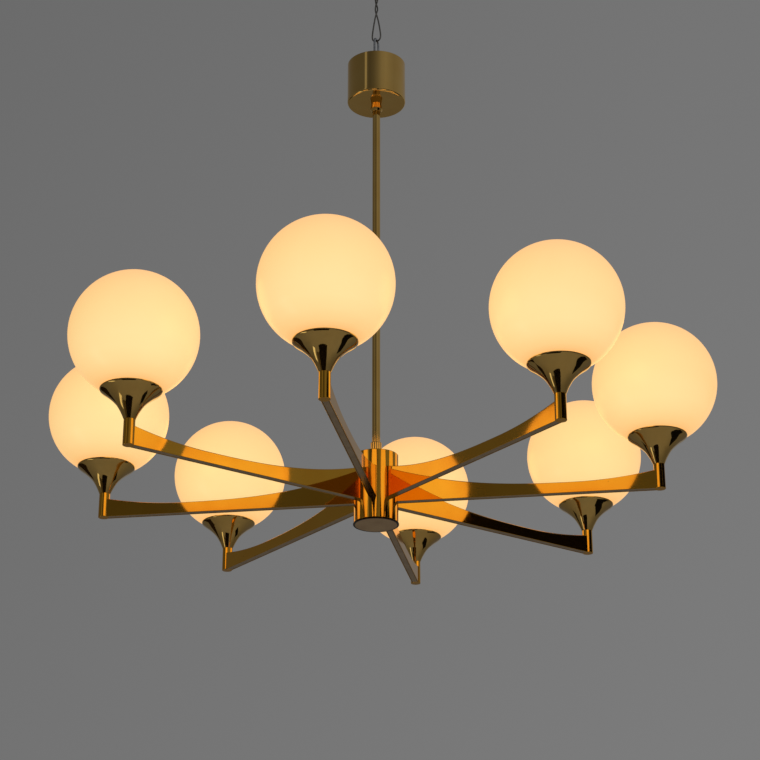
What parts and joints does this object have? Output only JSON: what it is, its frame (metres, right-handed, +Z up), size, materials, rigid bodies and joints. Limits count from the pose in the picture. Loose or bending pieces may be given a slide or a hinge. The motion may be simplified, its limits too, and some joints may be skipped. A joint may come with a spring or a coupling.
{
  "type": "multi arm chandelier",
  "caption": "Hanging chandelier with straight brass arms around a cylindrical hub, each with a trumpet cup and a lit opal glass globe, on a thin stem with a can canopy.",
  "frame": {"origin": "where the hanging ring bears on its hook, on the stem's axis, at the top of the lamp", "axes": "+Z up along the stem, +X along the first arm"},
  "size_m": [0.83, 0.83, 0.7759],
  "materials": {
    "polished_brass": "mirror polished and lacquered",
    "dull_brass": "dull, unpolished",
    "steel": "bright drawn steel",
    "zinc_steel": "zinc plated",
    "spring_steel": "satin strip",
    "opal_glass": "satin opal, milky right through",
    "frosted_bulb": "frosted",
    "lampholder_plastic": "moulded, slightly glossy",
    "lead_insulation": "soft insulated flex"
  },
  "bodies": {
    "hanger": {"hanging_wire": "steel", "wire_sleeve": "steel", "hanging_ring": "steel"},
    "fixture": {"hanging_bail": "steel", "bail_pin": "steel", "stem_tube": "polished_brass", "hub_ferrule": "polished_brass", "hub_shell": "polished_brass", "stem_nut": "zinc_steel", "arm_screws": "zinc_steel", "cup_fixings": "zinc_steel", "hub_bottom_cap": "dull_brass", "lampholders": "lampholder_plastic", "terminal_blocks": "lampholder_plastic", "bulbs": "frosted_bulb", "globe_springs": "spring_steel", "leads": "lead_insulation", "arm_1": "polished_brass", "arm_sole_1": "dull_brass", "arm_tube_1": "polished_brass", "cup_1": "polished_brass", "arm_2": "polished_brass", "arm_sole_2": "dull_brass", "arm_tube_2": "polished_brass", "cup_2": "polished_brass", "arm_3": "polished_brass", "arm_sole_3": "dull_brass", "arm_tube_3": "polished_brass", "cup_3": "polished_brass", "arm_4": "polished_brass", "arm_sole_4": "dull_brass", "arm_tube_4": "polished_brass", "cup_4": "polished_brass", "arm_5": "polished_brass", "arm_sole_5": "dull_brass", "arm_tube_5": "polished_brass", "cup_5": "polished_brass", "arm_6": "polished_brass", "arm_sole_6": "dull_brass", "arm_tube_6": "polished_brass", "cup_6": "polished_brass", "arm_7": "polished_brass", "arm_sole_7": "dull_brass", "arm_tube_7": "polished_brass", "cup_7": "polished_brass", "arm_8": "polished_brass", "arm_sole_8": "dull_brass", "arm_tube_8": "polished_brass", "cup_8": "polished_brass"},
    "canopy": {"canopy": "polished_brass", "canopy_collar": "polished_brass", "collar_screw": "zinc_steel"},
    "globe_1": {"globe_1": "opal_glass"},
    "globe_2": {"globe_2": "opal_glass"},
    "globe_3": {"globe_3": "opal_glass"},
    "globe_4": {"globe_4": "opal_glass"},
    "globe_5": {"globe_5": "opal_glass"},
    "globe_6": {"globe_6": "opal_glass"},
    "globe_7": {"globe_7": "opal_glass"},
    "globe_8": {"globe_8": "opal_glass"}
  },
  "joints": [
    {"name": "fixture_swing", "type": "hinge", "parent": "hanger", "child": "fixture", "pos_m": [0, 0, -0.095], "axis": [0.9781, -0.2079, 0], "range_deg": [-15, 15]},
    {"name": "canopy_slide", "type": "slide", "parent": "fixture", "child": "canopy", "axis": [0, 0, 1], "range_m": [-0.46, 0.04]},
    {"name": "globe_lift_1", "type": "slide", "parent": "fixture", "child": "globe_1", "axis": [0, 0, 1], "range_m": [0, 0.1]},
    {"name": "globe_lift_2", "type": "slide", "parent": "fixture", "child": "globe_2", "axis": [0, 0, 1], "range_m": [0, 0.1]},
    {"name": "globe_lift_3", "type": "slide", "parent": "fixture", "child": "globe_3", "axis": [0, 0, 1], "range_m": [0, 0.1]},
    {"name": "globe_lift_4", "type": "slide", "parent": "fixture", "child": "globe_4", "axis": [0, 0, 1], "range_m": [0, 0.1]},
    {"name": "globe_lift_5", "type": "slide", "parent": "fixture", "child": "globe_5", "axis": [0, 0, 1], "range_m": [0, 0.1]},
    {"name": "globe_lift_6", "type": "slide", "parent": "fixture", "child": "globe_6", "axis": [0, 0, 1], "range_m": [0, 0.1]},
    {"name": "globe_lift_7", "type": "slide", "parent": "fixture", "child": "globe_7", "axis": [0, 0, 1], "range_m": [0, 0.1]},
    {"name": "globe_lift_8", "type": "slide", "parent": "fixture", "child": "globe_8", "axis": [0, 0, 1], "range_m": [0, 0.1]}
  ]
}
